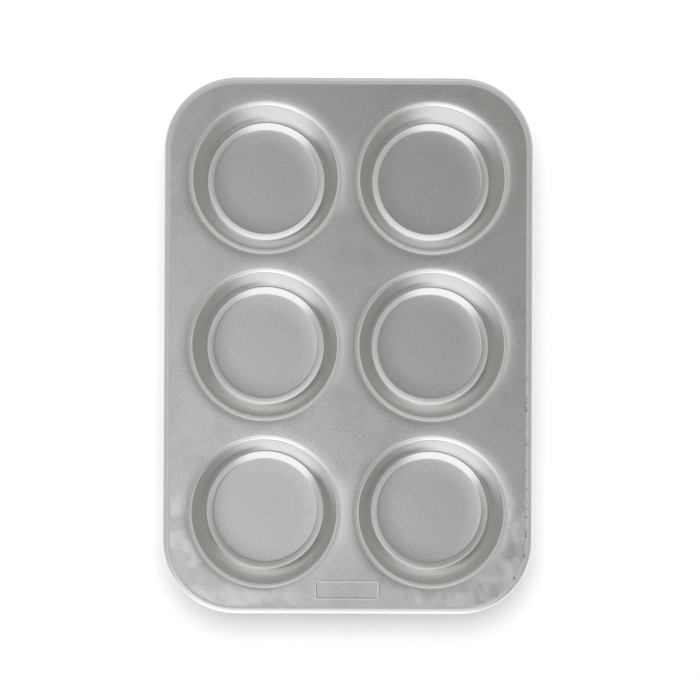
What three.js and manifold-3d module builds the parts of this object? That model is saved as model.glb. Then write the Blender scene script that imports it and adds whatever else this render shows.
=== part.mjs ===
// Jumbo muffin pan: one aluminium sheet drawn into rows of cups, its edge rolled round a steel wire.
// Millimetres, +Z up. The pan stands on z = 0 on the undersides of its cups, with its long side along Y.
// The sheet is parted along its forming lines into the deck, the cups and the rolled rim.

import * as THREE from 'three';
import { mergeVertices } from 'three/addons/utils/BufferGeometryUtils.js';
import loadManifold from 'manifold-3d';

// Rows of cups from front to back and columns from left to right: each name adds one.
const ROWS = ['front', 'middle', 'back'];
const COLUMNS = ['left', 'right'];

// Sheet and wire
const SHEET = 0.9;
const PARTING_GAP = 0.3;
const WIRE_DIAMETER = 2.2;
const WIRE_CLEARANCE = 0.3;
const WIRE_BUTT_GAP = 1;

// Cup, measured on its inside: the lip curves down from the deck, and a sloped step joins the wall to the floor.
const MOUTH_DIAMETER = 98.6;
const LIP_RADIUS = 4.3;
const CUP_DEPTH = 44;
const FOOT_RADIUS = 2.2;
const STEP_WIDTH = 5;
const STEP_SLOPE = THREE.MathUtils.degToRad(18);
const FLOOR_DIAMETER = 66.8;

// Deck: the strip between neighbouring mouths, and the lands from the mouths to the pan's edge.
const WEB = 7.6;
const SIDE_LAND = 15.2;
const END_LAND = 15;
const CORNER_RADIUS = 46.7;

// Rolled rim: how far the bead stands above the deck, the flat strip inside it, and the slot left under the deck.
const BEAD_RISE = 0.05;
const RIM_FLAT = 1.6;
const CURL_SLOT = 0.35;

// Bare stamped plaque in the front land, set back from the pan's edge to its own middle.
const PLAQUE_WIDTH = 41;
const PLAQUE_HEIGHT = 12;
const PLAQUE_CORNER = 1.5;
const PLAQUE_SINK = 0.2;
const PLAQUE_SETBACK = 15;

// Fineness of the faceted curves; arcs in a path take two steps for each of their divisions.
const CUP_SEGMENTS = 36;
const PROFILE_DIVISIONS = 2;
const CORNER_STEPS = 8;
const CURL_DIVISIONS = 7;
const WIRE_SIDES = 12;
const PLAQUE_DIVISIONS = 2;

// Overall sizes
const pitch = MOUTH_DIAMETER + WEB;
const width = (COLUMNS.length - 1) * pitch + MOUTH_DIAMETER + 2 * SIDE_LAND;
const length = (ROWS.length - 1) * pitch + MOUTH_DIAMETER + 2 * END_LAND;
const floorTop = SHEET;
const deckTop = floorTop + CUP_DEPTH;
const deckUnder = deckTop - SHEET;

// The bead: its section is drawn about the middle of the wire.
const curlInner = WIRE_DIAMETER / 2 + WIRE_CLEARANCE;
const curlOuter = curlInner + SHEET;
const beadHeight = deckTop + BEAD_RISE - curlOuter;
const deckTopInBead = deckTop - beadHeight;
const deckUnderInBead = deckUnder - beadHeight;
const rimInset = Math.sqrt(curlOuter ** 2 - deckTopInBead ** 2) + RIM_FLAT;

const aluminium = new THREE.MeshStandardMaterial({ color: 0xb9bab6, roughness: 0.38, metalness: 1 });
const brightAluminium = new THREE.MeshStandardMaterial({ color: 0xc2c2be, roughness: 0.28, metalness: 1 });
const galvanisedSteel = new THREE.MeshStandardMaterial({ color: 0x8f9499, roughness: 0.5, metalness: 1 });

const wasm = await loadManifold();
wasm.setup();

// A closed geometry as a solid that can be joined and cut.
function toSolid(geometry) {
  geometry.deleteAttribute('normal');
  geometry.deleteAttribute('uv');
  const merged = mergeVertices(geometry);
  return new wasm.Manifold(new wasm.Mesh({
    numProp: 3,
    vertProperties: merged.attributes.position.array,
    triVerts: Uint32Array.from(merged.index.array),
  }));
}

// A solid as a geometry again.
function toGeometry(solid) {
  const { vertProperties, triVerts } = solid.getMesh();
  const geometry = new THREE.BufferGeometry();
  geometry.setAttribute('position', new THREE.BufferAttribute(vertProperties, 3));
  geometry.setIndex(new THREE.BufferAttribute(triVerts, 1));
  geometry.computeVertexNormals();
  return geometry;
}

// A flat shape made into a plate that stands on a height.
function plate(shape, bottom, thickness, curveSegments) {
  const geometry = new THREE.ExtrudeGeometry(shape, { depth: thickness, bevelEnabled: false, curveSegments });
  return geometry.translate(0, 0, bottom);
}

// Stations along the middle of the bead, anticlockwise from the back: the straights join one corner to the next.
function beadStations() {
  const across = width / 2 - CORNER_RADIUS;
  const along = length / 2 - CORNER_RADIUS;
  const corners = [[-across, along], [-across, -along], [across, -along], [across, along]];
  return corners.flatMap(([x, y], corner) => Array.from({ length: CORNER_STEPS + 1 }, (_, step) => {
    const angle = (corner + 1 + step / CORNER_STEPS) * Math.PI / 2;
    const outward = new THREE.Vector2(Math.cos(angle), Math.sin(angle));
    const point = new THREE.Vector2(x, y).addScaledVector(outward, CORNER_RADIUS - curlOuter);
    return { point, outward };
  }));
}

// The pan's outline drawn in from the middle of the bead.
function outlineInside(inset) {
  return beadStations().map(({ point, outward }) => point.clone().addScaledVector(outward, -inset));
}

// A clockwise section carried along stations at one height: a closed ring, or a rod with flat ends.
function sweep(section, stations, height, closed) {
  const size = section.length;
  const positions = stations.flatMap(({ point, outward }) => section.flatMap((corner) => [
    point.x + outward.x * corner.x,
    point.y + outward.y * corner.x,
    height + corner.y,
  ]));
  const indices = [];
  const spans = closed ? stations.length : stations.length - 1;
  for (let span = 0; span < spans; span += 1) {
    const here = span * size;
    const there = ((span + 1) % stations.length) * size;
    for (let side = 0; side < size; side += 1) {
      const next = (side + 1) % size;
      indices.push(here + side, here + next, there + next);
      indices.push(here + side, there + next, there + side);
    }
  }
  if (!closed) {
    const last = (stations.length - 1) * size;
    for (let side = 1; side < size - 1; side += 1) {
      indices.push(0, side + 1, side);
      indices.push(last, last + side, last + side + 1);
    }
  }
  const geometry = new THREE.BufferGeometry();
  geometry.setAttribute('position', new THREE.Float32BufferAttribute(positions, 3));
  geometry.setIndex(indices);
  geometry.computeVertexNormals();
  return geometry;
}

// Where two lines of a profile meet, each given by a point on it and its normal, when both are moved along their
// normals by an offset.
function meetOf(pointA, normalA, pointB, normalB, offset) {
  const a = normalA.dot(pointA) + offset;
  const b = normalB.dot(pointB) + offset;
  const turn = normalA.cross(normalB);
  return new THREE.Vector2(a * normalB.y - b * normalA.y, b * normalA.x - a * normalB.x).divideScalar(turn);
}

// A unit vector at an angle.
function heading(angle) {
  return new THREE.Vector2(Math.cos(angle), Math.sin(angle));
}

// The cup's section from its axis out along the inside, over the lip and back along the outside.
function cupProfile() {
  const mouth = MOUTH_DIAMETER / 2;
  const floorEdge = new THREE.Vector2(FLOOR_DIAMETER / 2, floorTop);
  const lip = new THREE.Vector2(mouth, deckTop - LIP_RADIUS);

  // The wall runs from a point on the floor's level to touch the lip, and its normal faces into the cup.
  const wallFoot = new THREE.Vector2(floorEdge.x + STEP_WIDTH, floorTop);
  const fromLip = wallFoot.clone().sub(lip);
  const wallAngle = fromLip.angle() - Math.acos(LIP_RADIUS / fromLip.length());
  const stepAngle = Math.PI / 2 + STEP_SLOPE;
  const wallNormal = heading(wallAngle);
  const stepNormal = heading(stepAngle);

  // The foot's fillet touches the wall and the step, and is no larger than the step has room for.
  const corner = meetOf(wallFoot, wallNormal, floorEdge, stepNormal, 0);
  const footRoom = corner.distanceTo(floorEdge) / Math.tan((wallAngle - stepAngle) / 2);
  const footRadius = Math.min(FOOT_RADIUS, footRoom);
  const foot = meetOf(wallFoot, wallNormal, floorEdge, stepNormal, footRadius);
  const underEdge = floorEdge.x + SHEET * Math.tan(STEP_SLOPE / 2);

  const profile = new THREE.Path();
  profile.moveTo(0, floorTop);
  profile.lineTo(floorEdge.x, floorEdge.y);
  profile.absarc(foot.x, foot.y, footRadius, stepAngle + Math.PI, wallAngle + Math.PI, false);
  profile.absarc(lip.x, lip.y, LIP_RADIUS, wallAngle, Math.PI / 2, true);
  profile.absarc(lip.x, lip.y, LIP_RADIUS - SHEET, Math.PI / 2, wallAngle, false);
  profile.absarc(foot.x, foot.y, footRadius + SHEET, wallAngle + Math.PI, stepAngle + Math.PI, true);
  profile.lineTo(underEdge, 0);
  profile.lineTo(0, 0);
  return profile.getPoints(PROFILE_DIVISIONS);
}

// One cup, turned about its own axis.
function cup(name) {
  const geometry = new THREE.LatheGeometry(cupProfile().reverse(), CUP_SEGMENTS);
  const mesh = new THREE.Mesh(geometry.rotateX(Math.PI / 2), brightAluminium);
  mesh.name = name;
  return mesh;
}

// The middle of a cup in plan, by its row and column.
function cupPlace(row, column) {
  const x = (column - (COLUMNS.length - 1) / 2) * pitch;
  const y = (row - (ROWS.length - 1) / 2) * pitch;
  return new THREE.Vector2(x, y);
}

// Every row and column with its cup's place.
function cupPlaces() {
  return ROWS.flatMap((rowName, row) => COLUMNS.map((columnName, column) => ({
    name: `cup_${rowName}_${columnName}`,
    place: cupPlace(row, column),
  })));
}

// The plaque's outline with round corners.
function plaqueShape() {
  const across = PLAQUE_WIDTH / 2 - PLAQUE_CORNER;
  const along = PLAQUE_HEIGHT / 2 - PLAQUE_CORNER;
  const middle = PLAQUE_SETBACK - length / 2;
  const shape = new THREE.Shape();
  [[across, along], [-across, along], [-across, -along], [across, -along]].forEach(([x, y], corner) => {
    const start = corner * Math.PI / 2;
    shape.absarc(x, middle + y, PLAQUE_CORNER, start, start + Math.PI / 2, false);
  });
  return shape.closePath();
}

// The flat deck with a round hole for each cup and the plaque pressed into it, so it stands proud underneath.
function deck() {
  const shape = new THREE.Shape(outlineInside(rimInset + PARTING_GAP));
  for (const { place } of cupPlaces()) {
    const hole = new THREE.Path();
    hole.absarc(place.x, place.y, MOUTH_DIAMETER / 2 + PARTING_GAP, 0, 2 * Math.PI, true);
    shape.holes.push(hole);
  }
  const flat = toSolid(plate(shape, deckUnder, SHEET, CUP_SEGMENTS / 2));
  const pressed = toSolid(plate(plaqueShape(), deckUnder - PLAQUE_SINK, SHEET, PLAQUE_DIVISIONS));
  const recess = toSolid(plate(plaqueShape(), deckTop - PLAQUE_SINK, SHEET, PLAQUE_DIVISIONS));
  const mesh = new THREE.Mesh(toGeometry(flat.add(pressed).subtract(recess)), aluminium);
  mesh.name = 'deck';
  return mesh;
}

// The rolled edge: a flat strip that runs out of the deck, over the wire and round it to a slot under the deck.
function rolledRim() {
  const crease = Math.PI - Math.asin(deckTopInBead / curlOuter);
  const underCrease = Math.PI - Math.asin(deckUnderInBead / curlInner);
  const edge = Math.PI - Math.asin((deckUnderInBead - CURL_SLOT) / curlOuter);
  const section = new THREE.Path();
  section.moveTo(-rimInset, deckUnderInBead);
  section.lineTo(-rimInset, deckTopInBead);
  section.absarc(0, 0, curlOuter, crease, edge, true);
  section.absarc(0, 0, curlInner, edge, underCrease, false);
  const geometry = sweep(section.getPoints(CURL_DIVISIONS), beadStations(), beadHeight, true);
  const mesh = new THREE.Mesh(geometry, aluminium);
  mesh.name = 'rolled_rim';
  return mesh;
}

// The wire inside the rolled edge, one length whose ends meet at the middle of the back.
function rimWire() {
  const back = length / 2 - curlOuter;
  const ends = [-1, 1].map((side) => ({
    point: new THREE.Vector2(side * WIRE_BUTT_GAP / 2, back),
    outward: new THREE.Vector2(0, 1),
  }));
  const round = new THREE.ArcCurve(0, 0, WIRE_DIAMETER / 2, 0, 2 * Math.PI, true);
  const section = round.getPoints(WIRE_SIDES).slice(0, WIRE_SIDES);
  const geometry = sweep(section, [ends[0], ...beadStations(), ends[1]], beadHeight, false);
  const mesh = new THREE.Mesh(geometry, galvanisedSteel);
  mesh.name = 'rim_wire';
  return mesh;
}

// The whole pan.
const pan = new THREE.Group();
pan.add(deck(), rolledRim(), rimWire());
for (const { name, place } of cupPlaces()) {
  const mesh = cup(name);
  mesh.position.set(place.x, place.y, 0);
  pan.add(mesh);
}

export default pan;
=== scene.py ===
"""Looks for a jumbo muffin pan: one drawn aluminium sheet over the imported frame, in a plain white studio.

Metres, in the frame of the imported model: +Z is up, the long side runs along Y, and the plaque is at the
front, at -Y.
"""

from __future__ import annotations

import logging
import math
from collections.abc import Iterable
from dataclasses import dataclass
from enum import Enum
from typing import Any, Union

import bmesh
import bpy
from bmesh.types import BMesh, BMVert
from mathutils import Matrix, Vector


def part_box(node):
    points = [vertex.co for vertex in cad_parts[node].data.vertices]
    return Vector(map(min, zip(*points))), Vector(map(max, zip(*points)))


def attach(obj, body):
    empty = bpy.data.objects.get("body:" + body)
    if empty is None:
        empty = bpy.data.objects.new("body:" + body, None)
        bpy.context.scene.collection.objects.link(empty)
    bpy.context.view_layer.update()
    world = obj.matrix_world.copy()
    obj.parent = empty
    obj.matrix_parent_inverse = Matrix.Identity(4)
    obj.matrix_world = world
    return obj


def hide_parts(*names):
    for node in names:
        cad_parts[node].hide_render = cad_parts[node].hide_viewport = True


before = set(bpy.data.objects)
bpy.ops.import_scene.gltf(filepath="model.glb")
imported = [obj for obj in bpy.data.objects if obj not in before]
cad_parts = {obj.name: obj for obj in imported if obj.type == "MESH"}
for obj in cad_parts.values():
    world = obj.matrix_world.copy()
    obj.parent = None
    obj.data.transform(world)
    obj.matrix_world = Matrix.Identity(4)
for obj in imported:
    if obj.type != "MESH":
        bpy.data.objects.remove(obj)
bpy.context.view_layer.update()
MERGE_DISTANCE = 0.000002
LOG = logging.getLogger("muffin_pan")


# Shader expressions


class Operation(Enum):
    """Math node operations that the finishes use."""

    ADD = "ADD"
    SUBTRACT = "SUBTRACT"
    MULTIPLY = "MULTIPLY"
    DIVIDE = "DIVIDE"
    POWER = "POWER"
    ABSOLUTE = "ABSOLUTE"
    MINIMUM = "MINIMUM"
    MAXIMUM = "MAXIMUM"
    ROUND = "ROUND"
    ARCCOSINE = "ARCCOSINE"


class Value:
    """A number, colour or vector in a node tree; arithmetic on a number adds Math nodes."""

    def __init__(self, graph: Graph, socket: bpy.types.NodeSocket | None) -> None:
        """Wraps an output socket of a graph's node."""
        self.graph = graph
        self.socket = socket

    def output(self, name: str) -> Value:
        """Another output of the same node."""
        return Value(self.graph, named(self.socket.node.outputs, name))

    def __add__(self, other: Number) -> Value:
        """This number plus another."""
        return self.graph.maths(Operation.ADD, self, other)

    def __radd__(self, other: Number) -> Value:
        """Another number plus this one."""
        return self.graph.maths(Operation.ADD, other, self)

    def __sub__(self, other: Number) -> Value:
        """This number less another."""
        return self.graph.maths(Operation.SUBTRACT, self, other)

    def __rsub__(self, other: Number) -> Value:
        """Another number less this one."""
        return self.graph.maths(Operation.SUBTRACT, other, self)

    def __mul__(self, other: Number) -> Value:
        """This number times another."""
        return self.graph.maths(Operation.MULTIPLY, self, other)

    def __rmul__(self, other: Number) -> Value:
        """Another number times this one."""
        return self.graph.maths(Operation.MULTIPLY, other, self)

    def __truediv__(self, other: Number) -> Value:
        """This number divided by another."""
        return self.graph.maths(Operation.DIVIDE, self, other)

    def __rtruediv__(self, other: Number) -> Value:
        """Another number divided by this one."""
        return self.graph.maths(Operation.DIVIDE, other, self)

    def __pow__(self, other: Number) -> Value:
        """This number to a power."""
        return self.graph.maths(Operation.POWER, self, other)

    def __abs__(self) -> Value:
        """This number without its sign."""
        return self.graph.maths(Operation.ABSOLUTE, self)


Number = Union[float, Value]
Colour = tuple[float, float, float]


def named(sockets: Any, name: str) -> bpy.types.NodeSocket:
    """The socket of that name that is in use on its node."""
    return next(socket for socket in sockets if socket.enabled and socket.name == name)


class Graph:
    """A node tree that is written as expressions."""

    def __init__(self, tree: bpy.types.NodeTree) -> None:
        """Empties a tree and takes it over."""
        self.tree = tree
        tree.nodes.clear()

    def node(
        self, kind: str, settings: dict[str, Any] | None = None, inputs: dict[str, Any] | None = None,
    ) -> Value:
        """Adds a node, sets it up and links it.

        Args:
            kind: The node's type, after the ShaderNode that every type starts with.
            settings: Properties of the node, which are set first.
            inputs: A number, a colour or a link for each socket, by its name.

        Returns:
            The node's first output.
        """
        made = self.tree.nodes.new("ShaderNode" + kind)
        for name, setting in (settings or {}).items():
            setattr(made, name, setting)
        for name, given in (inputs or {}).items():
            socket = named(made.inputs, name)
            if isinstance(given, Value):
                self.tree.links.new(given.socket, socket)
            elif socket.type == "RGBA" and len(given) == 3:
                socket.default_value = (*given, 1.0)
            else:
                socket.default_value = given
        return Value(self, next((socket for socket in made.outputs if socket.enabled), None))

    def maths(self, operation: Operation, *numbers: Number) -> Value:
        """Adds a Math node.

        Args:
            operation: What it works out.
            numbers: The one or two numbers that it works on.

        Returns:
            The result.
        """
        made = self.node("Math", {"operation": operation.value})
        for socket, given in zip(made.socket.node.inputs, numbers):
            if isinstance(given, Value):
                self.tree.links.new(given.socket, socket)
            else:
                socket.default_value = given
        return made

    def larger(self, a: Number, b: Number) -> Value:
        """The larger of two numbers."""
        return self.maths(Operation.MAXIMUM, a, b)

    def smaller(self, a: Number, b: Number) -> Value:
        """The smaller of two numbers."""
        return self.maths(Operation.MINIMUM, a, b)

    def rise(self, number: Value, start: float, end: float) -> Value:
        """A smooth step from 0, where the number is at start, to 1 at end."""
        inputs = {"Value": number, "From Min": start, "From Max": end}
        return self.node("MapRange", {"interpolation_type": "SMOOTHSTEP"}, inputs)

    def noise(self, place: Value, scale: float, detail: float = 2.0, distortion: float = 0.0) -> Value:
        """Even noise about a half.

        Args:
            place: The coordinates it is read at.
            scale: Features in a metre.
            detail: Finer layers on top.
            distortion: How far the pattern is stirred.

        Returns:
            The noise's number.
        """
        inputs = {"Vector": place, "Scale": scale, "Detail": detail, "Distortion": distortion}
        return self.node("TexNoise", None, inputs)

    def blend(self, share: Number, a: Colour | Value, b: Colour | Value) -> Value:
        """Colour a where the share is 0, through to colour b where it is 1."""
        return self.node("Mix", {"data_type": "RGBA"}, {"Factor": share, "A": a, "B": b})


@dataclass(frozen=True)
class Border:
    """A soft border in a number.

    Attributes:
        start: Where the share past it is still 0.
        full: Where that share has reached 1.
    """

    start: float
    full: float

    def past(self, number: Value, about: float = 0.0) -> Value:
        """The share past the border, which is counted from about."""
        return number.graph.rise(number, about + self.start, about + self.full)

    def before(self, number: Value) -> Value:
        """The share short of the border."""
        return 1.0 - self.past(number)


def new_material(name: str) -> tuple[bpy.types.Material, Graph]:
    """Makes a material.

    Args:
        name: Its name.

    Returns:
        The material and the graph of its nodes, still empty.
    """
    material = bpy.data.materials.new(name)
    material.use_nodes = True
    return material, Graph(material.node_tree)


# Where things lie


@dataclass(frozen=True)
class Layout:
    """The pan's main places and sizes, read from the frame.

    Attributes:
        cups: The cups' axes, at the height of the floors' undersides.
        mouth_radius: From a cup's axis to where its lip leaves the deck.
        pitch: From one cup's axis to the next.
        deck_top: The height of the deck.
        half_width: From the middle to the pan's edge across.
        half_length: From the middle to the pan's edge along.
        sheet: The sheet's thickness.
        corner_radius: The pan's outer corners in plan.
    """

    cups: tuple[Vector, ...]
    mouth_radius: float
    pitch: float
    deck_top: float
    half_width: float
    half_length: float
    sheet: float = 0.0009
    corner_radius: float = 0.0467

    @classmethod
    def from_frame(cls) -> Layout:
        """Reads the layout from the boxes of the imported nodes.

        Returns:
            The layout.
        """
        boxes = [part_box(name) for name in sorted(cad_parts) if name.startswith("cup_")]
        cups = tuple(Vector(((low.x + high.x) / 2, (low.y + high.y) / 2, low.z)) for low, high in boxes)
        low, high = boxes[0]
        across = sorted(cup.x for cup in cups)
        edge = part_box("rolled_rim")[1]
        return cls(
            cups=cups,
            mouth_radius=(high.x - low.x) / 2,
            pitch=across[-1] - across[0],
            deck_top=high.z,
            half_width=edge.x,
            half_length=edge.y,
        )

    @property
    def corner(self) -> Vector:
        """The middle of the outer corner at +X and +Y."""
        return Vector((self.half_width - self.corner_radius, self.half_length - self.corner_radius, 0.0))


# Forms of the sheet


class Pen:
    """Draws an open profile in the XZ plane, each stretch going on from the last."""

    def __init__(self, mesh: BMesh, start: Vector, tilt: float = 0.0) -> None:
        """Puts the pen down.

        Args:
            mesh: The mesh that is drawn in.
            start: The profile's first point.
            tilt: The heading, turned up from +X.
        """
        self.mesh = mesh
        self.tilt = tilt
        self.tip: BMVert = mesh.verts.new(start)

    def go(self, length: float, steps: int = 1) -> None:
        """Draws a straight stretch.

        Args:
            length: The stretch's length.
            steps: Equal steps in the stretch.
        """
        stride = Vector((math.cos(self.tilt), 0.0, math.sin(self.tilt))) * length / steps
        for _ in range(steps):
            grown = bmesh.ops.extrude_vert_indiv(self.mesh, verts=[self.tip])
            self.tip = grown["verts"][0]
            bmesh.ops.translate(self.mesh, verts=[self.tip], vec=stride)

    def bend(self, radius: float, turn: float, steps: int) -> None:
        """Draws an arc.

        Args:
            radius: The arc's radius.
            turn: The angle it turns by: up if positive, down if negative.
            steps: Straight steps in the arc.
        """
        left = Vector((-math.sin(self.tilt), 0.0, math.cos(self.tilt)))
        centre = self.tip.co + left * math.copysign(radius, turn)
        grown = bmesh.ops.spin(
            self.mesh, geom=[self.tip], cent=centre, axis=(0.0, -1.0, 0.0), angle=turn, steps=steps,
        )
        self.tip = next(item for item in grown["geom_last"] if isinstance(item, BMVert))
        self.tilt += turn


def finished(mesh: BMesh, name: str) -> bpy.types.Mesh:
    """Turns a bmesh into mesh data and frees it.

    Args:
        mesh: The bmesh.
        name: The data's name.

    Returns:
        The mesh data.
    """
    data = bpy.data.meshes.new(name)
    mesh.to_mesh(data)
    mesh.free()
    return data


def added(name: str, data: bpy.types.ID) -> bpy.types.Object:
    """Makes an object and puts it in the scene.

    Args:
        name: The object's name.
        data: Its mesh, camera or light.

    Returns:
        The object, at the origin.
    """
    made = bpy.data.objects.new(name, data)
    bpy.context.scene.collection.objects.link(made)
    return made


@dataclass(frozen=True)
class CupForm:
    """A drawn cup, measured on its inside from its floor's middle to the deck.

    Attributes:
        flat_radius: The floor's level middle.
        floor_radius: The floor's edge, where it has curved up a little.
        floor_tilt: The floor's slope at that edge.
        crease_radius: The fillet from the floor into the step.
        step_slope: The sloped step's rise.
        foot_radius: The fillet from the step into the wall.
        wall_slope: The wall's rise.
        edge_radius: The tighter bend at the wall's top.
        edge_slope: The slope at which that bend runs into the lip.
        lip_radius: The wider roll from there to the mouth's edge.
        lead_slope: The deck's slope at the mouth's edge, where it is drawn down a little.
        lead_width: How far from the mouth's edge the deck is level again.
        skirt: A ring of the deck that is made with the cup.
        turns: Steps round the cup.
    """

    flat_radius: float = 0.0220
    floor_radius: float = 0.0330
    floor_tilt: float = math.radians(1.7)
    crease_radius: float = 0.0036
    step_slope: float = math.radians(18.0)
    foot_radius: float = 0.0014
    wall_slope: float = math.radians(79.5)
    edge_radius: float = 0.0014
    edge_slope: float = math.radians(40.0)
    lip_radius: float = 0.0050
    lead_slope: float = math.radians(2.6)
    lead_width: float = 0.0050
    skirt: float = 0.0016
    turns: int = 96

    @property
    def lip_width(self) -> float:
        """From the wall's top to the mouth's edge, across."""
        edge = self.edge_radius * (math.sin(self.wall_slope) - math.sin(self.edge_slope))
        return edge + self.lip_radius * (math.sin(self.edge_slope) - math.sin(self.lead_slope))

    @property
    def lip_height(self) -> float:
        """From the wall's top to the mouth's edge, upwards."""
        edge = self.edge_radius * (math.cos(self.edge_slope) - math.cos(self.wall_slope))
        return edge + self.lip_radius * (math.cos(self.lead_slope) - math.cos(self.edge_slope))

    @property
    def lead_radius(self) -> float:
        """The radius of the deck's lead-in, across the mouth's edge."""
        return self.lead_width / math.sin(self.lead_slope)

    def sag(self, distance: float) -> float:
        """How far the deck is drawn down at a distance outside the mouth's edge."""
        left = min(max(self.lead_width - distance, 0.0), self.lead_width)
        return self.lead_radius - math.sqrt(self.lead_radius ** 2 - left ** 2)

    def stretches(self, layout: Layout) -> tuple[float, float]:
        """Works out the straight lengths of step and wall, which take up what the bends leave.

        Args:
            layout: The pan's layout.

        Returns:
            The step's length and the wall's length.
        """
        edge, step, wall = self.floor_tilt, self.step_slope, self.wall_slope
        dish = (self.floor_radius - self.flat_radius) / math.sin(edge)
        concave = ((dish, 0.0, edge), (self.crease_radius, edge, step), (self.foot_radius, step, wall))
        across = layout.mouth_radius - self.flat_radius - self.lip_width
        up = layout.deck_top - self.sag(0.0) - layout.sheet - self.lip_height
        for radius, start, end in concave:
            across -= radius * (math.sin(end) - math.sin(start))
            up -= radius * (math.cos(start) - math.cos(end))
        turn = math.sin(wall - step)
        step_length = (across * math.sin(wall) - up * math.cos(wall)) / turn
        wall_length = (up * math.cos(step) - across * math.sin(step)) / turn
        return step_length, wall_length

    def build(self, layout: Layout) -> bpy.types.Mesh:
        """Draws the section and spins it about the cup's axis.

        Args:
            layout: The pan's layout.

        Returns:
            The cup's inside, about the origin.
        """
        mesh = bmesh.new()
        step_length, wall_length = self.stretches(layout)
        dish = (self.floor_radius - self.flat_radius) / math.sin(self.floor_tilt)
        pen = Pen(mesh, Vector((0.0, 0.0, layout.sheet)))
        pen.go(self.flat_radius, steps=3)
        pen.bend(dish, self.floor_tilt, steps=5)
        pen.bend(self.crease_radius, self.step_slope - self.floor_tilt, steps=5)
        pen.go(step_length, steps=2)
        pen.bend(self.foot_radius, self.wall_slope - self.step_slope, steps=12)
        pen.go(wall_length, steps=3)
        pen.bend(self.edge_radius, self.edge_slope - self.wall_slope, steps=9)
        pen.bend(self.lip_radius, self.lead_slope - self.edge_slope, steps=12)
        skirt_slope = math.asin((self.lead_width - self.skirt) / self.lead_radius)
        pen.bend(self.lead_radius, skirt_slope - self.lead_slope, steps=2)
        section = mesh.verts[:] + mesh.edges[:]
        bmesh.ops.spin(
            mesh, geom=section, cent=(0.0, 0.0, 0.0), axis=(0.0, 0.0, 1.0), angle=2.0 * math.pi,
            steps=self.turns, use_merge=True,
        )
        bmesh.ops.remove_doubles(mesh, verts=mesh.verts[:], dist=MERGE_DISTANCE)
        return finished(mesh, "cup_inside")


@dataclass(frozen=True)
class RimForm:
    """The rolled edge: the deck's border, a crease, a flattened crown, and the curl round the wire.

    Attributes:
        border: The level strip inside the crease.
        crease_radius: The fillet between deck and crown.
        crown_rise: How far the crown stands above the deck.
        crown_radius: The crown's flattened top.
        crown_turn: How far the crown has turned down where the side begins.
        side_radius: The rounding from the crown into the outer side.
        curl_radius: The outside of the curl below, round the wire.
        slot: What is left open between the curl's end and the deck.
        corner_steps: Steps round each corner.
    """

    border: float = 0.0016
    crease_radius: float = 0.0015
    crown_rise: float = 0.00004
    crown_radius: float = 0.0045
    crown_turn: float = math.radians(38.0)
    side_radius: float = 0.0016
    curl_radius: float = 0.0023
    slot: float = 0.00035
    corner_steps: int = 24

    @property
    def climb(self) -> float:
        """The slope at which the crease runs into the crown."""
        reach = self.crown_radius + self.crease_radius
        return math.acos((reach - self.crown_rise) / reach)

    @property
    def width(self) -> float:
        """The rim's width in plan.

        Returns:
            From the deck's border to the pan's edge.
        """
        apart = self.crown_radius - self.side_radius
        crown = self.side_radius + apart * math.sin(self.crown_turn)
        return crown + (self.crown_radius + self.crease_radius) * math.sin(self.climb) + self.border

    def section(self, mesh: BMesh, layout: Layout) -> None:
        """Draws the rim's section at the pan's right side, from the deck outwards.

        Args:
            mesh: The mesh that is drawn in.
            layout: The pan's layout.
        """
        level = self.crown_radius - self.crown_rise
        apart = self.crown_radius - self.side_radius
        side_height = layout.deck_top - level + apart * math.cos(self.crown_turn)
        slot_height = layout.deck_top - layout.sheet - self.slot
        close = math.asin((slot_height - side_height) / self.curl_radius)
        pen = Pen(mesh, Vector((layout.half_width - self.width, -layout.corner.y, layout.deck_top)))
        pen.go(self.border)
        pen.bend(self.crease_radius, self.climb, steps=5)
        pen.bend(self.crown_radius, -self.climb - self.crown_turn, steps=12)
        pen.bend(self.side_radius, self.crown_turn - math.pi / 2.0, steps=10)
        pen.bend(self.curl_radius, -math.pi - close, steps=28)

    def build(self, layout: Layout) -> bpy.types.Mesh:
        """Carries the section round the pan, along each side and round each corner.

        Args:
            layout: The pan's layout.

        Returns:
            The rim as one closed strip.
        """
        mesh = bmesh.new()
        self.section(mesh, layout)
        moving = mesh.verts[:] + mesh.edges[:]
        corner = layout.corner
        heading = Vector((0.0, 2.0 * corner.y, 0.0))
        for across, along in ((1, 1), (-1, 1), (-1, -1), (1, -1)):
            edges = [item for item in moving if not isinstance(item, BMVert)]
            grown = bmesh.ops.extrude_edge_only(mesh, edges=edges)["geom"]
            moving = [item for item in grown if isinstance(item, (BMVert, bmesh.types.BMEdge))]
            ends = [item for item in moving if isinstance(item, BMVert)]
            bmesh.ops.translate(mesh, verts=ends, vec=heading)
            fresh = set(ends)
            moving = ends + [
                item for item in moving if not isinstance(item, BMVert) and fresh.issuperset(item.verts)
            ]
            spun = bmesh.ops.spin(
                mesh, geom=moving, cent=(across * corner.x, along * corner.y, 0.0), axis=(0.0, 0.0, 1.0),
                angle=math.pi / 2.0, steps=self.corner_steps,
            )
            moving = [item for item in spun["geom_last"] if isinstance(item, (BMVert, bmesh.types.BMEdge))]
            side = corner.x if along * across > 0 else corner.y
            heading = Vector((-heading.y, heading.x, 0.0)).normalized() * 2.0 * side
        bmesh.ops.remove_doubles(mesh, verts=mesh.verts[:], dist=MERGE_DISTANCE)
        return finished(mesh, "rim")


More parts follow.
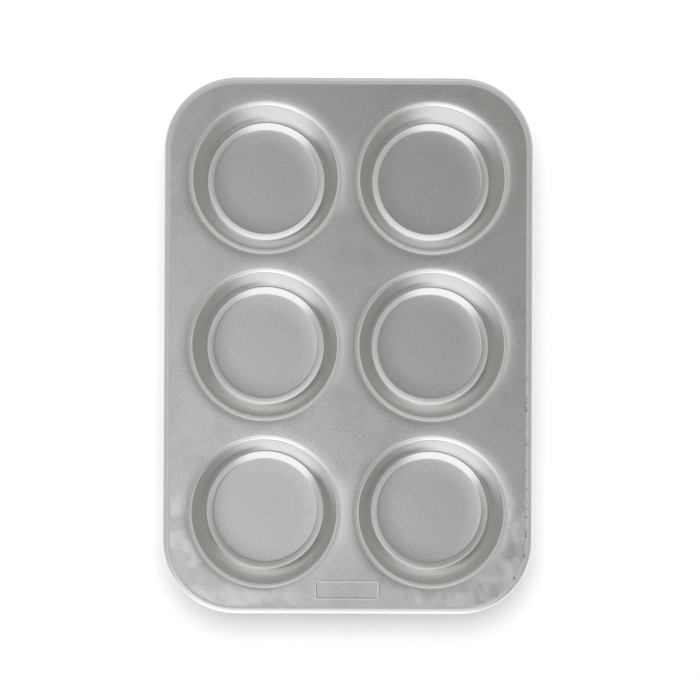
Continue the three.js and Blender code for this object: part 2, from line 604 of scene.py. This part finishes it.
@dataclass(frozen=True)
class PlaqueForm:
    """The bare stamped plaque in the deck's front land.

    Attributes:
        width: Across the outside of its raised line.
        height: Along the pan, over its raised line.
        corner: The outline's rounding.
        setback: From the pan's front edge to the plaque's middle.
        line: The raised line's width.
        rise: How far the line stands above the deck.
        sink: How far the field lies below the deck.
        shine: From the middle of the line, where its painted highlight fades.
        steps: Steps across the line.
        corner_steps: Steps round each corner.
    """

    width: float = 0.0412
    height: float = 0.0122
    corner: float = 0.0018
    setback: float = 0.0150
    line: float = 0.0014
    rise: float = 0.00005
    sink: float = 0.00003
    shine: Border = Border(0.00042, 0.00084)
    steps: int = 8
    corner_steps: int = 6

    def middle(self, layout: Layout) -> Vector:
        """The plaque's middle on the deck."""
        return Vector((0.0, self.setback - layout.half_length, layout.deck_top))

    def line_highlight_share(self, zones: Zones, layout: Layout) -> Value:
        """Marks out the painted highlight along the raised line.

        Args:
            zones: Where the point lies.
            layout: The pan's layout.

        Returns:
            A share that is 1 along the line and 0 off it.
        """
        beside = abs(zones.x) - (self.width - self.line) / 2.0
        beyond = abs(zones.y - self.middle(layout).y) - (self.height - self.line) / 2.0
        return self.shine.before(abs(zones.graph.larger(beside, beyond)))

    def build(self, layout: Layout) -> bpy.types.Mesh:
        """Rounds a rectangle's corners and insets it over the line and down to the field.

        Args:
            layout: The pan's layout.

        Returns:
            The plaque, in its place in the deck.
        """
        mesh = bmesh.new()
        corners = bmesh.ops.create_grid(mesh, x_segments=1, y_segments=1, size=0.5)["verts"]
        bmesh.ops.scale(mesh, verts=corners, vec=(self.width, self.height, 1.0))
        bmesh.ops.bevel(
            mesh, geom=corners, affect="VERTICES", offset=self.corner, segments=self.corner_steps,
            profile=0.5, material=-1,
        )
        bmesh.ops.translate(mesh, verts=mesh.verts[:], vec=self.middle(layout))
        mesh.faces.ensure_lookup_table()
        field = mesh.faces[0]
        height = 0.0
        stride = self.line / self.steps
        for step in range(1, self.steps + 1):
            share = step / self.steps
            level = self.rise * math.sin(math.pi * share) ** 2 - self.sink * share
            bmesh.ops.inset_region(
                mesh, faces=[field], thickness=stride, depth=level - height, use_even_offset=True,
                use_boundary=True,
            )
            height = level
        bmesh.ops.inset_region(mesh, faces=[field], thickness=stride, use_even_offset=True, use_boundary=True)
        return finished(mesh, "plaque")


# Finishes


@dataclass(frozen=True)
class ZoneBorders:
    """How softly the sheet's zones run into each other.

    Attributes:
        floor: About the floor's edge.
        wall: About the wall's foot.
        lip: About the wall's top.
        mouth: About the mouth's edge.
        rim: From the pan's edge inwards.
    """

    floor: Border = Border(-0.0002, 0.0004)
    wall: Border = Border(-0.0006, 0.0)
    lip: Border = Border(0.0002, 0.0014)
    mouth: Border = Border(-0.0012, 0.0008)
    rim: Border = Border(0.0036, 0.0052)


@dataclass(frozen=True)
class Zones:
    """Where a point of the sheet lies: each share is 1 inside its zone and 0 outside.

    Attributes:
        place: The point's coordinates.
        x: Across the pan.
        y: Along the pan.
        along_row: Along the pan from the middle of the nearest row of cups.
        inset: How far inside the pan's edge.
        step: The cups' sloped steps.
        wall: The cups' walls.
        lip: The rolls at the mouths.
        rim: The rolled edge.
        deck: The deck outside the mouths.
        floor: The cups' floors.
    """

    place: Value
    x: Value
    y: Value
    along_row: Value
    inset: Value
    step: Value
    wall: Value
    lip: Value
    rim: Value
    deck: Value
    floor: Value

    @classmethod
    def across(cls, place: Value, layout: Layout, cup: CupForm, borders: ZoneBorders) -> Zones:
        """Parts the sheet by the distance from the nearest cup's axis and from the pan's edge.

        Args:
            place: The point's coordinates.
            layout: The pan's layout.
            cup: The cups' form.
            borders: The zones' soft borders.

        Returns:
            The zones.
        """
        graph = place.graph
        x = graph.node("SeparateXYZ", None, {"Vector": place})
        y = x.output("Y")
        # Rows are counted from the middle one, as -1, 0 and 1
        row = graph.larger(graph.smaller(graph.maths(Operation.ROUND, y / layout.pitch), 1.0), -1.0)
        along_row = y - layout.pitch * row
        radius = Zones.length(abs(x) - layout.pitch / 2.0, along_row)
        beside = graph.larger(abs(x) - layout.corner.x, 0.0)
        beyond = graph.larger(abs(y) - layout.corner.y, 0.0)
        inset = layout.corner_radius - Zones.length(beside, beyond)
        lip_start = layout.mouth_radius - cup.lip_width
        wall_start = lip_start - (layout.deck_top - cup.lip_height) / math.tan(cup.wall_slope)
        past_floor = borders.floor.past(radius, cup.floor_radius)
        past_step = borders.wall.past(radius, wall_start)
        past_wall = borders.lip.past(radius, lip_start)
        past_lip = borders.mouth.past(radius, layout.mouth_radius)
        rim = borders.rim.before(inset)
        return cls(
            place=place,
            x=x,
            y=y,
            along_row=along_row,
            inset=inset,
            step=past_floor * (1.0 - past_step),
            wall=past_step * (1.0 - past_wall),
            lip=past_wall * (1.0 - past_lip),
            rim=rim,
            deck=past_lip * (1.0 - rim),
            floor=1.0 - past_floor,
        )

    @staticmethod
    def length(across: Value, along: Value) -> Value:
        """The length of a level vector."""
        return (across * across + along * along) ** 0.5

    @property
    def graph(self) -> Graph:
        """The material's nodes."""
        return self.place.graph

    def noise(self, scale: float, detail: float = 2.0) -> Value:
        """Even noise about a half, at the point."""
        return self.graph.noise(self.place, scale, detail)


@dataclass(frozen=True)
class Relief:
    """Uneven metal: noise that lifts and sinks the surface.

    Attributes:
        scale: Features in a metre.
        depth: From its lowest to its highest.
        detail: Finer layers on top.
        distortion: How far the pattern is stirred.
    """

    scale: float
    depth: float
    detail: float = 2.0
    distortion: float = 0.0

    def height(self, place: Value, share: Value) -> Value:
        """Its height in metres, as far as its share goes."""
        noise = place.graph.noise(place, self.scale, self.detail, self.distortion)
        return (noise - 0.5) * share * self.depth


@dataclass(frozen=True)
class GrainyFlats:
    """The colour of the flats: fine grains, under soft clouds on the deck.

    Attributes:
        dull: The darker grains.
        light: The lighter grains.
        turn: Where the grain's noise turns from dull to light.
        cloud: The duller clouds.
        cloud_scale: Clouds in a metre.
        cloud_detail: Finer layers in the clouds.
        cloud_edge: Where the clouds show in their noise.
        cloud_weight: How much of the clouds' colour shows.
        broken: How far the grains break up the clouds.
    """

    dull: Colour = (0.80, 0.805, 0.785)
    light: Colour = (0.89, 0.895, 0.875)
    turn: Border = Border(0.25, 0.75)
    cloud: Colour = (0.70, 0.705, 0.68)
    cloud_scale: float = 40.0
    cloud_detail: float = 4.0
    cloud_edge: Border = Border(0.45, 0.70)
    cloud_weight: float = 0.6
    broken: float = 0.5

    def colour(self, zones: Zones, grains: Value) -> Value:
        """Lays the clouds over the grains.

        Args:
            zones: Where the point lies.
            grains: The grain's noise.

        Returns:
            The colour.
        """
        grainy = zones.graph.blend(self.turn.past(grains), self.dull, self.light)
        noise = zones.noise(self.cloud_scale, self.cloud_detail)
        clouds = self.cloud_edge.past(noise - self.broken * (grains - 0.5))
        return zones.graph.blend(self.cloud_weight * clouds * zones.deck, grainy, self.cloud)


@dataclass(frozen=True)
class FrontLands:
    """The lands round the two front corners, wrinkled inside an uneven border, with patches of painted
    highlight.

    Attributes:
        front: From the pan's middle towards the front.
        edge: From the pan's edge inwards.
        side: From the middle line outwards.
        wander_scale: Bends of the border in a metre.
        wander: How far the border strays.
        highlight_scale: Patches of painted highlight in a metre.
        highlight_edge: Where those patches show in their noise.
    """

    front: Border = Border(0.088, 0.106)
    edge: Border = Border(0.015, 0.024)
    side: Border = Border(0.026, 0.046)
    wander_scale: float = 45.0
    wander: float = 0.016
    highlight_scale: float = 55.0
    highlight_edge: Border = Border(0.42, 0.58)

    def share(self, zones: Zones) -> Value:
        """Marks out the lands.

        Args:
            zones: Where the point lies.

        Returns:
            A share from 0 to 1.
        """
        uneven = zones.noise(self.wander_scale) * self.wander - self.wander / 2.0
        front = self.front.past(uneven - zones.y)
        near_edge = self.edge.before(zones.inset + uneven)
        off_middle = self.side.past(abs(zones.x) + uneven)
        return front * near_edge * off_middle * zones.deck

    def painted_highlights(self, zones: Zones, lands: Value) -> Value:
        """The patches of painted highlight inside the lands."""
        return lands * self.highlight_edge.past(zones.noise(self.highlight_scale))


@dataclass(frozen=True)
class Webs:
    """The webs between the cups: stretched in patches, with a painted highlight where the mouths are closest.

    Attributes:
        inner: From the pan's edge inwards.
        patch_scale: Stretched patches in a metre.
        patch_detail: Finer layers in the patches.
        patch_edge: Where the patches show in their noise.
        narrow: From the middle line outwards.
        beside_row: From a row's middle along the pan.
        outer_rows: From the pan's middle along the pan.
        middle_row: How bright the painted highlight on the web of the middle row is against the others.
    """

    inner: Border = Border(0.030, 0.045)
    patch_scale: float = 28.0
    patch_detail: float = 1.0
    patch_edge: Border = Border(0.46, 0.60)
    narrow: Border = Border(0.004, 0.011)
    beside_row: Border = Border(0.010, 0.032)
    outer_rows: Border = Border(0.04, 0.07)
    middle_row: float = 0.2

    def stretched(self, zones: Zones) -> Value:
        """The stretched patches' share."""
        patches = self.patch_edge.past(zones.noise(self.patch_scale, self.patch_detail))
        return self.inner.past(zones.inset) * patches * zones.deck

    def drawn(self, zones: Zones) -> Value:
        """Marks out the painted highlight on the narrow webs between the two columns.

        Args:
            zones: Where the point lies.

        Returns:
            A share from 0 to 1.
        """
        # A painted highlight on the saddles between the closest mouths, stronger in the outer rows.
        narrow = self.narrow.before(abs(zones.x))
        near_row = self.beside_row.before(abs(zones.along_row))
        outer = self.outer_rows.past(abs(zones.y))
        return narrow * near_row * (self.middle_row + (1.0 - self.middle_row) * outer) * zones.deck


@dataclass(frozen=True)
class Specks:
    """Small dark marks in the crease beside the rim, towards the front and mostly at the right.

    Attributes:
        colour: Their colour.
        crease_start: From the pan's edge to where the crease starts.
        crease_end: From the pan's edge to where it ends.
        front: From the pan's middle towards the front.
        lean: How much further back they reach at the right.
        side: From the middle line outwards.
        scale: Marks in a metre.
        edge: Where they show in their noise.
    """

    colour: Colour = (0.48, 0.47, 0.44)
    crease_start: Border = Border(0.0032, 0.0040)
    crease_end: Border = Border(0.0044, 0.0054)
    front: Border = Border(0.03, 0.13)
    lean: float = 0.6
    side: Border = Border(0.085, 0.100)
    scale: float = 300.0
    edge: Border = Border(0.56, 0.68)

    def share(self, zones: Zones) -> Value:
        """Marks out the specks.

        Args:
            zones: Where the point lies.

        Returns:
            A share from 0 to 1.
        """
        crease = self.crease_start.past(zones.inset) * self.crease_end.before(zones.inset)
        front = self.front.past(self.lean * zones.x - zones.y)
        side = self.side.past(abs(zones.x))
        return crease * (front * side) * self.edge.past(zones.noise(self.scale))


@dataclass(frozen=True)
class SheetFinish:
    """Bare pressed aluminium: grainy on the flats, satin where drawn, burnish on lips and rim, painted
    highlights on front lands, webs and plaque line.

    Attributes:
        metal: The metal's own colour.
        burnish_and_highlight: Its colour on the burnish of lips and rim, and where a highlight is painted.
        flat_roughness: On the deck and the floors.
        step_roughness: On the sloped steps.
        wall_roughness: On the walls.
        lip_roughness: On the lips.
        rim_roughness: On the rolled edge.
        grain: The rolled sheet's grain on the flats.
        grain_loss: How much of the grain is smoothed away on the front lands.
        peel: Coarser grain where the webs were stretched.
        wave: Flattened wrinkles in the front lands.
        ripple: The drawn walls' faint unevenness.
        painted_line_highlight: How far a highlight is painted along the plaque's raised line.
        borders: The zones' soft borders.
        flats: The colour of the flats.
        lands: The front lands.
        webs: The webs between the cups.
        specks: The marks beside the rim.
    """

    metal: Colour = (0.88, 0.885, 0.865)
    burnish_and_highlight: Colour = (0.99, 0.99, 0.98)
    flat_roughness: float = 0.17
    step_roughness: float = 0.15
    wall_roughness: float = 0.23
    lip_roughness: float = 0.36
    rim_roughness: float = 0.42
    grain: Relief = Relief(850.0, 0.000010, detail=3.0)
    grain_loss: float = 0.6
    peel: Relief = Relief(600.0, 0.000016)
    wave: Relief = Relief(75.0, 0.000150, detail=1.0, distortion=0.4)
    ripple: Relief = Relief(60.0, 0.000020, detail=1.0)
    painted_line_highlight: float = 0.6
    borders: ZoneBorders = ZoneBorders()
    flats: GrainyFlats = GrainyFlats()
    lands: FrontLands = FrontLands()
    webs: Webs = Webs()
    specks: Specks = Specks()

    def roughness(self, zones: Zones) -> Value:
        """Gives each zone its roughness.

        Args:
            zones: Where the point lies.

        Returns:
            The roughness.
        """
        return (
            self.flat_roughness
            + (self.step_roughness - self.flat_roughness) * zones.step
            + (self.wall_roughness - self.flat_roughness) * zones.wall
            + (self.lip_roughness - self.flat_roughness) * zones.lip
            + (self.rim_roughness - self.flat_roughness) * zones.rim
        )

    def height(self, zones: Zones, lands: Value) -> Value:
        """Adds up the metal's unevenness.

        Args:
            zones: Where the point lies.
            lands: The share of the front lands.

        Returns:
            The height in metres.
        """
        grainy = (zones.deck + zones.floor) * (1.0 - self.grain_loss * lands)
        return (
            self.grain.height(zones.place, grainy)
            + self.peel.height(zones.place, self.webs.stretched(zones))
            + self.wave.height(zones.place, lands)
            + self.ripple.height(zones.place, zones.wall + zones.lip)
        )

    def colour(self, zones: Zones, lands: Value, line: Value) -> Value:
        """Lays grains, burnish on lips and rim, painted highlights and specks over the metal.

        Args:
            zones: Where the point lies.
            lands: The share of the front lands.
            line: The share of the painted highlight along the plaque's raised line.

        Returns:
            The colour.
        """
        graph = zones.graph
        flats = self.flats.colour(zones, zones.noise(self.grain.scale, self.grain.detail))
        # Painted highlights: bright patches in the front lands and on the narrow webs between the cups.
        painted_highlights = graph.larger(self.lands.painted_highlights(zones, lands), self.webs.drawn(zones))
        # Lips and rim take the burnish; the plaque's line takes a painted highlight.
        raised = zones.lip + zones.rim + self.painted_line_highlight * line
        colour = graph.blend(zones.deck + zones.floor, self.metal, flats)
        colour = graph.blend(graph.larger(painted_highlights, raised), colour, self.burnish_and_highlight)
        return graph.blend(self.specks.share(zones), colour, self.specks.colour)

    def build(self, layout: Layout, cup: CupForm, plaque: PlaqueForm) -> bpy.types.Material:
        """Makes the material.

        Args:
            layout: The pan's layout.
            cup: The cups' form, for the places of floor and wall.
            plaque: The plaque's form, for its raised line.

        Returns:
            The sheet's material.
        """
        material, graph = new_material("pressed_aluminium")
        zones = Zones.across(graph.node("TexCoord").output("Object"), layout, cup, self.borders)
        lands = self.lands.share(zones)
        height = self.height(zones, lands)
        shader = graph.node("BsdfPrincipled", None, {
            "Base Color": self.colour(zones, lands, plaque.line_highlight_share(zones, layout)),
            "Metallic": 1.0,
            "Roughness": self.roughness(zones),
            "Normal": graph.node("Bump", None, {"Strength": 1.0, "Distance": 1.0, "Height": height}),
        })
        graph.node("OutputMaterial", None, {"Surface": shader})
        return material


@dataclass(frozen=True)
class WireFinish:
    """Galvanised steel wire.

    Attributes:
        dull: The zinc's darker grains.
        bright: Its lighter grains.
        roughness: Of the darker grains.
        grain_roughness: How much rougher the lighter grains are.
        grain_scale: Grains in a metre.
        grain_detail: Finer layers in the grain.
    """

    dull: Colour = (0.42, 0.44, 0.46)
    bright: Colour = (0.58, 0.60, 0.62)
    roughness: float = 0.42
    grain_roughness: float = 0.12
    grain_scale: float = 500.0
    grain_detail: float = 3.0

    def build(self) -> bpy.types.Material:
        """Makes the material.

        Returns:
            The wire's material.
        """
        material, graph = new_material("galvanised_wire")
        place = graph.node("TexCoord").output("Object")
        grain = graph.noise(place, self.grain_scale, self.grain_detail)
        shader = graph.node("BsdfPrincipled", None, {
            "Base Color": graph.blend(grain, self.dull, self.bright),
            "Metallic": 1.0,
            "Roughness": self.roughness + self.grain_roughness * grain,
        })
        graph.node("OutputMaterial", None, {"Surface": shader})
        return material


# Sub-assemblies


@dataclass
class PanSheet:
    """The one sheet that is deck, cups, plaque and rolled rim.

    Attributes:
        layout: The pan's layout.
        cup: The cups' form.
        rim: The rolled edge's form.
        plaque: The plaque's form.
        finish: The metal's finish.
        grid_pitch: The side of the level deck's squares.
        grid_margin: The least room between those squares and what they surround.
    """

    layout: Layout
    cup: CupForm = CupForm()
    rim: RimForm = RimForm()
    plaque: PlaqueForm = PlaqueForm()
    finish: SheetFinish = SheetFinish()
    grid_pitch: float = 0.0025
    grid_margin: float = 0.0012

    def skin(self) -> bpy.types.Mesh:
        """Joins the formed stretches by the deck into the sheet's upper skin.

        Returns:
            The skin, with its faces pointing up and outwards.
        """
        mesh = bmesh.new()
        layout = self.layout
        level: list[BMVert] = []
        for part in (self.rim.build(layout), self.plaque.build(layout), self.grid()):
            level += self.put(mesh, part, Vector())
        for cup in layout.cups:
            points = self.put(mesh, self.cup.build(layout), Vector((cup.x, cup.y, 0.0)))
            self.settle(points, [other for other in layout.cups if other is not cup])
        borders = [
            edge for edge in mesh.edges
            if edge.is_boundary and all(point.co.z > layout.deck_top - layout.sheet for point in edge.verts)
        ]
        bmesh.ops.triangle_fill(mesh, edges=borders, use_beauty=True, normal=(0.0, 0.0, 1.0))
        self.settle(level, layout.cups)
        bmesh.ops.recalc_face_normals(mesh, faces=mesh.faces[:])
        highest = max(mesh.faces, key=lambda face: face.calc_center_median().z)
        if highest.normal.z < 0.0:
            bmesh.ops.reverse_faces(mesh, faces=mesh.faces[:])
        for face in mesh.faces:
            face.smooth = True
        return finished(mesh, "pan_sheet")

    def grid(self) -> bpy.types.Mesh:
        """Lays squares over the deck wherever there is room for them.

        Returns:
            The squares, level with the deck.
        """
        mesh = bmesh.new()
        across = round(2.0 * self.layout.half_width / self.grid_pitch)
        along = round(2.0 * self.layout.half_length / self.grid_pitch)
        bmesh.ops.create_grid(mesh, x_segments=across, y_segments=along, size=0.5)
        size = (across * self.grid_pitch, along * self.grid_pitch, 1.0)
        bmesh.ops.scale(mesh, verts=mesh.verts[:], vec=size)
        bmesh.ops.translate(mesh, verts=mesh.verts[:], vec=(0.0, 0.0, self.layout.deck_top))
        spare = [point for point in mesh.verts if not self.has_room(point.co)]
        while spare:
            bmesh.ops.delete(mesh, geom=spare, context="VERTS")
            spare = [
                point for point in mesh.verts
                if not point.link_faces or sum(edge.is_boundary for edge in point.link_edges) > 2
            ]
        bare = [edge for edge in mesh.edges if not edge.link_faces]
        bmesh.ops.delete(mesh, geom=bare, context="EDGES")
        return finished(mesh, "deck_grid")

    def has_room(self, point: Vector) -> bool:
        """Tells whether a point of the deck is clear of the cups, the rim and the plaque.

        Args:
            point: The point.

        Returns:
            True where it is clear.
        """
        layout, margin = self.layout, self.grid_margin
        mouth = layout.mouth_radius + self.cup.skirt + margin
        if any((point.xy - cup.xy).length < mouth for cup in layout.cups):
            return False
        beyond = Vector((max(abs(point.x) - layout.corner.x, 0.0), max(abs(point.y) - layout.corner.y, 0.0)))
        if layout.corner_radius - beyond.length < self.rim.width + margin:
            return False
        from_plaque = point - self.plaque.middle(layout)
        beside = abs(from_plaque.x) > self.plaque.width / 2.0 + margin
        return beside or abs(from_plaque.y) > self.plaque.height / 2.0 + margin

    def settle(self, points: list[BMVert], cups: Iterable[Vector]) -> None:
        """Draws points of the deck down towards the cups that they are near.

        Args:
            points: The points, which are moved.
            cups: The cups' axes.
        """
        for point in points:
            for cup in cups:
                point.co.z -= self.cup.sag((point.co.xy - cup.xy).length - self.layout.mouth_radius)

    @staticmethod
    def put(mesh: BMesh, part: bpy.types.Mesh, offset: Vector) -> list[BMVert]:
        """Adds a part to a mesh at an offset and drops the part's own data.

        Args:
            mesh: The mesh that is added to.
            part: The part's data.
            offset: How far the part is moved.

        Returns:
            The points that were added.
        """
        before = len(mesh.verts)
        mesh.from_mesh(part)
        mesh.verts.ensure_lookup_table()
        added = mesh.verts[before:]
        bmesh.ops.translate(mesh, verts=added, vec=offset)
        bpy.data.meshes.remove(part)
        return added

    def build(self) -> bpy.types.Object:
        """Gives the skin the sheet's thickness.

        Returns:
            The sheet's object, in place on its body.
        """
        piece = added("pan_sheet", self.skin())
        gauge = piece.modifiers.new("gauge", "SOLIDIFY")
        gauge.thickness = self.layout.sheet
        gauge.offset = -1.0
        gauge.use_even_offset = True
        gauge.use_quality_normals = True
        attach(piece, "root")
        return piece

    def dress(self, piece: bpy.types.Object) -> None:
        """Gives the sheet its finish and hides the nodes that it stands for.

        Args:
            piece: The sheet's object.
        """
        piece.data.materials.append(self.finish.build(self.layout, self.cup, self.plaque))
        stood_for = [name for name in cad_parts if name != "rim_wire"]
        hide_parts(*stood_for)


@dataclass
class RimWire:
    """The wire inside the rolled edge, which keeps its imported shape.

    Attributes:
        finish: The wire's finish.
    """

    finish: WireFinish = WireFinish()

    def dress(self) -> bpy.types.Object:
        """Gives the wire its finish.

        Returns:
            The wire's object.
        """
        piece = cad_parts["rim_wire"]
        piece.data.materials.clear()
        piece.data.materials.append(self.finish.build())
        return piece


# Studio


@dataclass(frozen=True)
class Camera:
    """The photograph's camera.

    Attributes:
        place: Where it stands, from the middle of the deck's top.
        turn: Its rotation about X, Y and Z from looking straight down.
        lens: Its focal length in millimetres.
        sensor: Its sensor's width in millimetres.
    """

    place: Vector = Vector((-0.01805, -0.0297, 2.2505))
    turn: tuple[float, float, float] = (math.radians(0.837), math.radians(-0.491), math.radians(0.231))
    lens: float = 182.2
    sensor: float = 36.0

    def build(self, layout: Layout) -> bpy.types.Object:
        """Makes the camera and gives it to the scene.

        Args:
            layout: The pan's layout.

        Returns:
            The camera's object.
        """
        data = bpy.data.cameras.new("camera")
        data.lens = self.lens
        data.sensor_width = self.sensor
        camera = added("camera", data)
        camera.location = self.place + Vector((0.0, 0.0, layout.deck_top))
        camera.rotation_euler = self.turn
        bpy.context.scene.camera = camera
        return camera


@dataclass(frozen=True)
class Card:
    """A soft-edged oval of light or shade around the pan, placed in degrees off straight up.

    Attributes:
        level: What it shows.
        across: Where its middle is, to the right.
        along: Where its middle is, to the back.
        half_across: Half its width.
        half_along: Half its length.
        core: The share of it inside its soft edge.
    """

    level: Colour
    across: float
    along: float
    half_across: float
    half_along: float
    core: float

    def lay(self, graph: Graph, across: Value, along: Value, under: Value | Colour) -> Value:
        """Lays the card over what is there already.

        Args:
            graph: The world's nodes.
            across: How far a direction lies to the right.
            along: How far it lies to the back.
            under: What shows outside the card.

        Returns:
            The colour in that direction.
        """
        beside = (across - self.across) / self.half_across
        beyond = (along - self.along) / self.half_along
        outside = graph.rise((beside * beside + beyond * beyond) ** 0.5, self.core, 1.0)
        return graph.blend(1.0 - outside, under, self.level)


@dataclass(frozen=True)
class Studio:
    """A white sweep in a dim room: a soft light overhead, a bright front and a pale band round the ceiling.

    Attributes:
        floor_half: Half the floor's side.
        floor_gap: How far the floor lies below the pan's feet.
        floor_glow: What the floor shows of its own white.
        floor_colour: The floor's paint under the lamp.
        lamp_strength: The overhead lamp, which only shades the floor.
        lamp_width: The lamp's width as an angle.
        lamp_lean: How far the lamp leans to the back and to the left from straight above.
        room: The warm walls, low down.
        dusk: The dark upper walls.
        cove: The pale band round the ceiling, brightest at the back.
        ceiling: What is overhead.
        key: The soft light overhead, to the front and left.
        front: The bright front, low down and more to the left.
        window: The bright front, high up.
    """

    floor_half: float = 4.0
    floor_gap: float = 0.0001
    floor_glow: float = 0.26
    floor_colour: Colour = (0.8, 0.8, 0.8)
    lamp_strength: float = 3.1
    lamp_width: float = math.radians(48.0)
    lamp_lean: tuple[float, float] = (math.radians(13.0), math.radians(2.0))
    room: Colour = (0.73, 0.68, 0.645)
    dusk: Card = Card((0.18, 0.18, 0.18), 0.0, -4.0, 68.0, 90.0, 0.82)
    cove: Card = Card((1.25, 1.23, 1.25), 0.0, 10.0, 55.0, 65.0, 0.32)
    ceiling: Card = Card((0.28, 0.28, 0.27), 0.0, 3.0, 38.5, 37.5, 0.8)
    key: Card = Card((0.67, 0.67, 0.69), -10.0, -27.0, 20.0, 38.0, 0.77)
    front: Card = Card((1.35, 1.35, 1.36), -40.0, -84.0, 105.0, 32.0, 0.7)
    window: Card = Card((1.04, 1.03, 1.07), -13.0, -39.0, 38.0, 25.0, 0.55)

    def floor(self) -> bpy.types.Object:
        """Lays the white floor, which shows its own white and the pan's shadow.

        Returns:
            The floor's object.
        """
        mesh = bmesh.new()
        square = bmesh.ops.create_grid(mesh, x_segments=1, y_segments=1, size=self.floor_half)
        bmesh.ops.translate(mesh, verts=square["verts"], vec=(0.0, 0.0, -self.floor_gap))
        floor = added("floor", finished(mesh, "floor"))
        material, graph = new_material("white_sweep")
        ray = graph.node("LightPath")
        seen = graph.larger(ray, graph.larger(ray.output("Is Glossy Ray"), ray.output("Is Transmission Ray")))
        paint = graph.node("BsdfDiffuse", None, {"Color": self.floor_colour})
        glow = graph.node("Emission", None, {"Color": (1.0, 1.0, 1.0), "Strength": self.floor_glow * seen})
        both = graph.node("AddShader")
        # The two inputs have one name, so they are linked in order
        for shader, socket in zip((paint, glow), both.socket.node.inputs):
            graph.tree.links.new(shader.socket, socket)
        graph.node("OutputMaterial", None, {"Surface": both})
        floor.data.materials.append(material)
        return floor

    def lamp(self) -> bpy.types.Object:
        """Hangs the broad lamp that makes the floor's shadow and leaves no glint in the metal.

        Returns:
            The lamp's object.
        """
        data = bpy.data.lights.new("overhead", "SUN")
        data.energy = self.lamp_strength
        data.angle = self.lamp_width
        lamp = added("overhead", data)
        lamp.rotation_euler = (-self.lamp_lean[0], -self.lamp_lean[1], 0.0)
        lamp.visible_glossy = False
        return lamp

    def surroundings(self) -> bpy.types.World:
        """Paints what the metal reflects: the cards in the room for the pan, plain white for the camera.

        Returns:
            The scene's world.
        """
        world = bpy.data.worlds.new("studio")
        world.use_nodes = True
        world.cycles_visibility.diffuse = False
        graph = Graph(world.node_tree)
        x = graph.node("SeparateXYZ", None, {"Vector": graph.node("TexCoord")})
        y = x.output("Y")
        off = graph.maths(Operation.ARCCOSINE, x.output("Z")) * math.degrees(1.0)
        stretch = off / graph.larger((x * x + y * y) ** 0.5, MERGE_DISTANCE)
        across = x * stretch
        along = y * stretch
        shown = self.room
        for card in (self.dusk, self.cove, self.ceiling, self.key, self.front, self.window):
            shown = card.lay(graph, across, along, shown)
        seen = graph.blend(graph.node("LightPath"), shown, (1.0, 1.0, 1.0))
        back = graph.node("Background", None, {"Color": seen, "Strength": 1.0})
        graph.node("OutputWorld", None, {"Surface": back})
        bpy.context.scene.world = world
        return world

    def build(self) -> None:
        """Sets up floor, lamp, surroundings and the plain view of colours."""
        self.floor()
        self.lamp()
        self.surroundings()
        bpy.context.scene.view_settings.view_transform = "Standard"


def main() -> None:
    """Builds and dresses the pan's pieces in order, then the studio and the camera."""
    logging.basicConfig(level=logging.INFO, format="%(name)s: %(message)s")
    layout = Layout.from_frame()
    sheet = PanSheet(layout)
    piece = sheet.build()
    sheet.dress(piece)
    LOG.info("%s: %d faces before its thickness", piece.name, len(piece.data.polygons))
    wire = RimWire().dress()
    LOG.info("%s: %d faces", wire.name, len(wire.data.polygons))
    Studio().build()
    Camera().build(layout)


if __name__ == "__main__":
    main()
